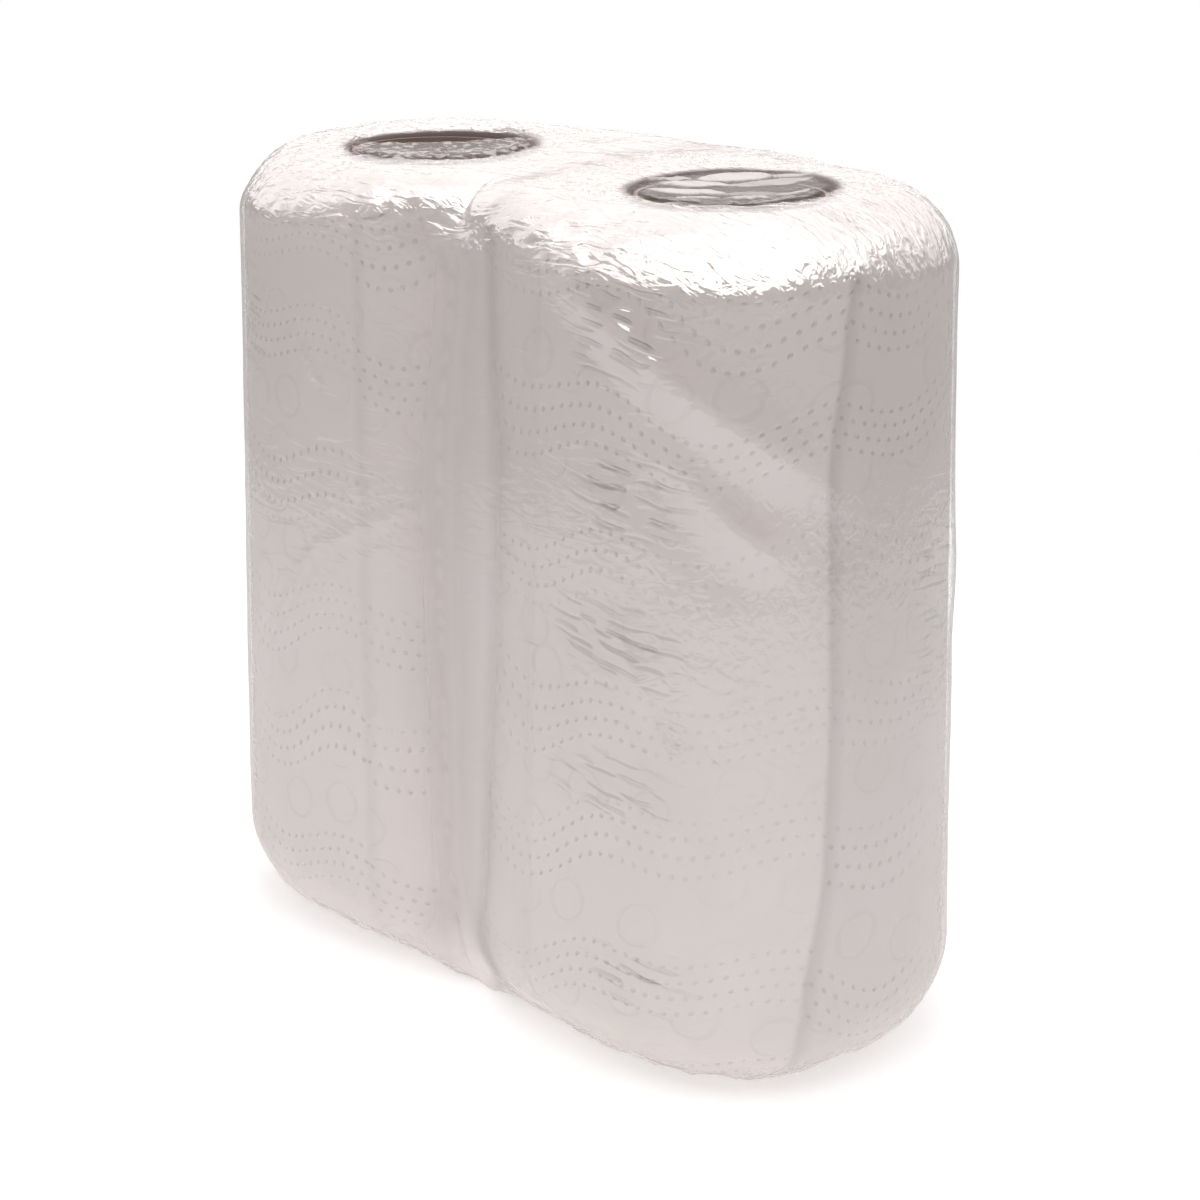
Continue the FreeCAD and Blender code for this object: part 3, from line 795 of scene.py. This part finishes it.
def makeFilm():
    look = filmLook
    columns = look["outerColumns"] + look["innerColumns"]
    rows = sum(look["rows"].values())
    bm = bmesh.new()
    marks = ("slack", "milky", "crinkled", "mirror", "gathered")
    for name in marks:
        bm.verts.layers.float.new(name)
    mapLayer = bm.loops.layers.uv.new("filmMap")
    layers = {name: bm.verts.layers.float[name] for name in marks}
    bmesh.ops.create_uvsphere(bm, u_segments=columns, v_segments=rows, radius=1.0)
    sideStart = look["rows"]["hole"] + look["rows"]["top"] + look["rows"]["shoulder"]
    sideEnd = sideStart + look["rows"]["side"]
    places = {}
    for vert in bm.verts:
        # the sphere's own columns stand half a step off its axis
        column = math.floor(math.atan2(vert.co.y, vert.co.x) / (2 * math.pi) * columns) % columns
        row = round(math.acos(min(max(vert.co.z, -1), 1)) / math.pi * rows)
        places[vert] = (column, row)
    hidden = []
    for face in bm.faces:
        spots = [places[vert] for vert in face.verts]
        inside = all(column == 0 or column >= look["outerColumns"] for column, row in spots)
        if inside and all(sideStart <= row <= sideEnd for column, row in spots):
            hidden.append(face)
    for vert, (column, row) in places.items():
        vert.co = skinPoint(column, row, look)
    bmesh.ops.delete(bm, geom=hidden, context="FACES")
    bmesh.ops.mirror(bm, geom=bm.verts[:] + bm.edges[:] + bm.faces[:], axis="X", merge_dist=0.001 * mm)
    bmesh.ops.remove_doubles(bm, verts=bm.verts[:], dist=0.001 * mm)
    turnOutwards(bm)
    # goes at the end, to leave the torn mouth
    middle = Vector((-coreX, 0))
    fan = [vert for vert in bm.verts if vert.co.z > 0.1 and (vert.co.xy - middle).length < 0.2 * mm]
    mapFilm(bm, mapLayer)
    wrinkleFilm(bm, look, layers)
    # the film runs smoothly from one end to the other over the front crease
    hood = [vert for vert in bm.verts
            if abs(vert.co.x) < 10 * mm and -50 * mm < vert.co.y < -22 * mm and vert.co.z > 204 * mm]
    for again in range(look["hoodSmoothing"]):
        bmesh.ops.smooth_vert(bm, verts=hood, factor=0.5, use_axis_x=True, use_axis_y=True, use_axis_z=True)
    bmesh.ops.delete(bm, geom=fan, context="VERTS")
    return bm


film = toObject(makeFilm(), "wrapFilm", filmMaterial)
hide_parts("film_wrap")
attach(film, "root")
print("film made:", len(film.data.polygons), "faces")

# the paper rolls
rollLook = {
    "columns": 180,
    "rows": {"side": 70, "topEdge": 10, "top": 22, "bore": 6, "bottom": 14, "bottomEdge": 10},
    "gap": 1.0 * mm,
    "sheetLength": 340 * mm,       # of the last turn
    "boreRadius": 23.65 * mm,
    "boreEdge": 3.2 * mm,          # the bore's rim is crushed down by the film
    "flatX": 0.25 * mm,
    "pressedEdge": 3 * mm,
    "valleyFill": 0.9,
    # where the tail of the paper lies, as height and angle, and how far it stands up
    "rightTail": [(0, -27), (25, -26.3), (66, -21), (99, -20), (162, -21.2), (194, -17.4), (220, -11)],
    "rightStep": 0.5 * mm,
    "leftTail": [(0, -64), (220, -66)],
    "leftStep": 0.3 * mm,
    # how dark the turn below the tail is, close by and all over
    "shade": {-1: (0.12, 0.0), 1: (0.24, 0.16)},
}


broadFolds = [fold for fold in foldList(filmLook) if fold[4] > 2.5 * mm]


def tailAngle(points, z):
    return math.radians(runThrough(points, z / mm))


def rollPoint(side, around, row, look, tail, step):
    # the last row closes on the first
    section, along = rowSection(row % sum(look["rows"].values()), look["rows"])
    gap = look["gap"]
    high, low = packShape["height"] - gap, gap
    heel = packShape["heelHeight"] - gap
    rough = {"side": blend(heel, high - 18 * mm, along),
             "topEdge": blend(high - 18 * mm, high, along), "top": high,
             "bore": high, "bottom": low, "bottomEdge": low}[section]
    world = tailAngle(tail, rough) + 2 * math.pi * min(around, 0.9995)
    if around > 0.9999:
        world = tailAngle(tail, rough)
    angle = wrapAngle(world if side > 0 else math.pi - world)
    inset = max(heelInsetAt(angle), 4 * mm) - gap
    top = topEdgeAt(angle) - gap
    top = blend(top, look["pressedEdge"], smoothStep(0.79 * math.pi, 0.88 * math.pi, abs(angle)))
    z, drawn = 0, 0
    if section == "side":
        z = blend(heel, high - top, along)
    elif section == "topEdge":
        z = high - top * (1 - math.sin(along * math.pi / 2))
        drawn = top * (1 - math.cos(along * math.pi / 2))
    elif section == "bottomEdge":
        z = heel - (heel - low) * math.cos(along * math.pi / 2)
        drawn = inset * (1 - math.sin(along * math.pi / 2))
    elif section == "top":
        z, drawn = high, top
    elif section == "bottom":
        z, drawn = low, inset
    level = min(max(z, heel), high - top)
    grow = packShape["lean"] * (1 - 2 * level / packShape["height"]) - gap
    # the paper swells by one turn's thickness up to its tail, and the tail is a little slack
    turned = 0 if around > 0.9999 else around
    loose = 0.1 * mm * hump((1 - turned) * look["sheetLength"] - 22 * mm, 14 * mm)
    loose *= 1 + noise.noise(Vector((z * 30, side, 0)))
    grow += step * turned + loose
    outer = outlineRadius(angle, grow)
    # the soft paper follows the film's broad folds
    if section == "side":
        world = angle if side > 0 else math.pi - angle
        fade = smoothStep(packShape["height"] - 6 * mm, packShape["height"] - 24 * mm, z)
        grow += fade * foldRise(side, Vector((wrapAngle(world) * packShape["meanRadius"], z)), broadFolds)
    # the soft turns fill most of the valley under the film
    loft = max(skinRadius(angle, planAt(level, angle)) - gap - outer, 0)
    outer += look["valleyFill"] * loft * loft / (loft + 2 * mm)
    if math.cos(angle) < 0:
        outer = min(outer, (coreX - look["flatX"]) / -math.cos(angle))
    outer -= drawn
    bore = look["boreRadius"]
    if section == "top":
        outer = blend(outer, bore, along)
        z -= quarterRound(outer - bore, look["boreEdge"], look["boreEdge"] * 0.9)
    elif section == "bore":
        outer = bore
        z = blend(high - look["boreEdge"] * 0.9, low, along)
    elif section == "bottom":
        outer = blend(bore, outer, along)
    spot = Vector((outer * math.cos(angle) + coreX, outer * math.sin(angle), z))
    spot.x *= side
    if section in ("top", "topEdge"):
        spot.z -= smoothStep(high - 23 * mm, high - 5 * mm, z) * endDrop(spot.x, spot.y)
    flat = section in ("top", "bore", "bottom")
    crinkle = 0 if flat else crinkleAt(side, math.atan2(spot.y, spot.x - side * coreX), z)
    place = Vector((turned * look["sheetLength"] + side * packShape["mapShift"], z))
    return spot, place, 1.0 if flat else 0.0, crinkle


def makeRoll(name, side, tail, step):
    look = rollLook
    columns, rows = look["columns"], sum(look["rows"].values())
    bm = bmesh.new()
    bmesh.ops.create_grid(bm, x_segments=columns, y_segments=rows, size=0.5)
    mapLayer = bm.loops.layers.uv.new("paperMap")
    marks = ("endFace", "crinkled", "paintedCoreShade", "tailShade")
    for mark in marks:
        bm.verts.layers.float.new(mark)
    layers = {mark: bm.verts.layers.float[mark] for mark in marks}
    maps = {}
    for vert in bm.verts:
        around = vert.co.x + 0.5
        row = round((vert.co.y + 0.5) * rows)
        made = rollPoint(side, around, row, look, tail, step)
        vert.co, maps[vert], vert[layers["endFace"]], vert[layers["crinkled"]] = made
        # painted shade round the core's mouth, strongest at the bore and reaching further on the near side
        share = mouthShare(side, vert.co.x - side * coreX, vert.co.y)
        fromCore = math.hypot(vert.co.x - side * coreX, vert.co.y) - look["boreRadius"]
        vert[layers["paintedCoreShade"]] = max(smoothStep(1.12, 0.96, share),
                                       smoothStep(4 * mm, 1 * mm, fromCore))
        fromTail = maps[vert].x - side * packShape["mapShift"]
        line, wide = look["shade"][side]
        shade = line * smoothStep(4 * mm, 0.5 * mm, fromTail) + wide * smoothStep(80 * mm, 0, fromTail)
        vert[layers["tailShade"]] = shade * (1 - made[2])
    for face in bm.faces:
        spots = [maps[vert].x for vert in face.verts]
        for loop in face.loops:
            place = maps[loop.vert].copy()
            if max(spots) - place.x > 0.1:
                place.x += look["sheetLength"]
            loop[mapLayer].uv = place
    bmesh.ops.remove_doubles(bm, verts=bm.verts[:], dist=0.002 * mm)
    turnOutwards(bm)
    roll = toObject(bm, name, paperMaterial)
    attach(roll, "root")
    return roll


leftRoll = makeRoll("leftTowelRoll", -1, rollLook["leftTail"], rollLook["leftStep"])
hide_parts("left_paper_roll")
rightRoll = makeRoll("rightTowelRoll", 1, rollLook["rightTail"], rollLook["rightStep"])
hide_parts("right_paper_roll")
print("rolls made")

for coreName in ("left_core", "right_core"):
    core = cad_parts[coreName]
    core.data.materials.clear()
    core.data.materials.append(boardMaterial)

# floor, light and camera
studio = {
    "floorRadius": 0.6,
    "floorLight": 0.3,             # of the air below the horizon, beyond the floor
    "wallLight": 0.02,
    "ceilingLight": 0.45,
    # what the film mirrors: a ceiling that is brighter in front, a wall behind, and the rest
    "frontGloss": 6.0,
    "backGloss": 2.6,
    "groundGloss": 0.7,
    "glossBase": 0.3,
    "floorGlow": 0.4,              # the table is lit from below as well
    "cameraAzimuth": 45.769,
    "cameraElevation": 17.835,
    "cameraDistance": 694.4 * mm,
    "cameraTarget": (8.06 * mm, 0.0, 103.9 * mm),
    "lens": 78.63,
    # place, aim, size, power, and whether the film mirrors it
    "lights": {
        "frontTopSoftbox": ((0.44, -0.43, 1.3), (0, 0, 0.2), (1.6, 1.1), 9.0, True),
        "overheadSoftbox": ((0, 0, 1.6), (0, 0, 0.2), (0.6, 0.6), 4.5, False),
    },
}


def makeLight(name, place, aim, size, power, mirrored):
    light = bpy.data.lights.new(name, "AREA")
    light.shape = "RECTANGLE"
    light.size, light.size_y = size
    light.energy = power
    lamp = bpy.data.objects.new(name, light)
    bpy.context.scene.collection.objects.link(lamp)
    lamp.location = place
    lamp.rotation_euler = (Vector(aim) - Vector(place)).to_track_quat("-Z", "Y").to_euler()
    lamp.visible_camera = False
    lamp.visible_glossy = mirrored


def makeStudio():
    scene = bpy.context.scene
    scene.view_settings.view_transform = "Standard"
    bm = bmesh.new()
    bmesh.ops.create_circle(bm, cap_ends=True, segments=96, radius=studio["floorRadius"])
    floorMaterial, tree = newMaterial("matteWhiteTable")
    white = addNode(tree, "ShaderNodeBsdfPrincipled",
                    {"Base Color": srgb("F7F7F7"), "Roughness": 0.9, "Specular IOR Level": 0.1,
                     "Emission Color": (1, 1, 1, 1), "Emission Strength": studio["floorGlow"]})
    addNode(tree, "ShaderNodeOutputMaterial", {}, {"Surface": white.outputs[0]})
    floor = toObject(bm, "studioFloor", floorMaterial)

    world = bpy.data.worlds.new("studioAir")
    scene.world = world
    world.use_nodes = True
    air = world.node_tree
    air.nodes.clear()
    seen = addNode(air, "ShaderNodeBackground", {"Color": (1, 1, 1, 1), "Strength": 1.0})
    aim = addNode(air, "ShaderNodeTexCoord")
    height = addNode(air, "ShaderNodeSeparateXYZ", {}, {0: aim.outputs["Generated"]}).outputs[2]
    wall = addStep(air, height, 0.3, 0.65, studio["wallLight"], studio["ceilingLight"])
    ground = addMaths(air, "LESS_THAN", height, 0.0)
    glow = addNode(air, "ShaderNodeMix", {"data_type": "FLOAT", 3: studio["floorLight"]},
                   {0: ground, 2: wall})
    # the film mirrors a bright ceiling above 30 degrees and a bright wall behind the pack
    behind = addNode(air, "ShaderNodeVectorMath", {"operation": "DOT_PRODUCT", 1: (-0.716, 0.698, 0)},
                     {0: aim.outputs["Generated"]}).outputs["Value"]
    ceiling = addMaths(air, "MULTIPLY", addStep(air, height, 0.5, 0.53),
                       addStep(air, behind, -0.2, 0.6, studio["frontGloss"], studio["backGloss"]))
    backWall = addMaths(air, "MULTIPLY", addStep(air, behind, 0.0, 0.5, 0.0, studio["backGloss"]),
                        addMaths(air, "MULTIPLY", addStep(air, height, 0.09, 0.13),
                                 addStep(air, height, 0.5, 0.53, 1.0, 0.0)))
    base = addStep(air, height, -0.1, 0.0, studio["groundGloss"], studio["glossBase"])
    shine = addMaths(air, "ADD", addMaths(air, "ADD", ceiling, backWall), base)
    path = addNode(air, "ShaderNodeLightPath")
    strength = addNode(air, "ShaderNodeMix", {"data_type": "FLOAT"},
                       {0: path.outputs["Is Glossy Ray"], 2: glow.outputs[0], 3: shine})
    fill = addNode(air, "ShaderNodeBackground", {"Color": srgb("FCFAF9")}, {"Strength": strength.outputs[0]})
    both = addNode(air, "ShaderNodeMixShader", {},
                   {0: path.outputs["Is Camera Ray"], 1: fill.outputs[0], 2: seen.outputs[0]})
    addNode(air, "ShaderNodeOutputWorld", {}, {"Surface": both.outputs[0]})

    for name, light in studio["lights"].items():
        makeLight(name, *light)

    azimuth = math.radians(studio["cameraAzimuth"])
    elevation = math.radians(studio["cameraElevation"])
    back = Vector((math.sin(azimuth) * math.cos(elevation),
                   -math.cos(azimuth) * math.cos(elevation), math.sin(elevation)))
    camera = bpy.data.objects.new("studioCamera", bpy.data.cameras.new("studioCamera"))
    scene.collection.objects.link(camera)
    camera.location = Vector(studio["cameraTarget"]) + back * studio["cameraDistance"]
    camera.rotation_euler = back.to_track_quat("Z", "Y").to_euler()
    camera.data.lens = studio["lens"]
    camera.data.sensor_width = 36
    camera.data.clip_start = 0.01
    scene.camera = camera


makeStudio()
print("studio made")
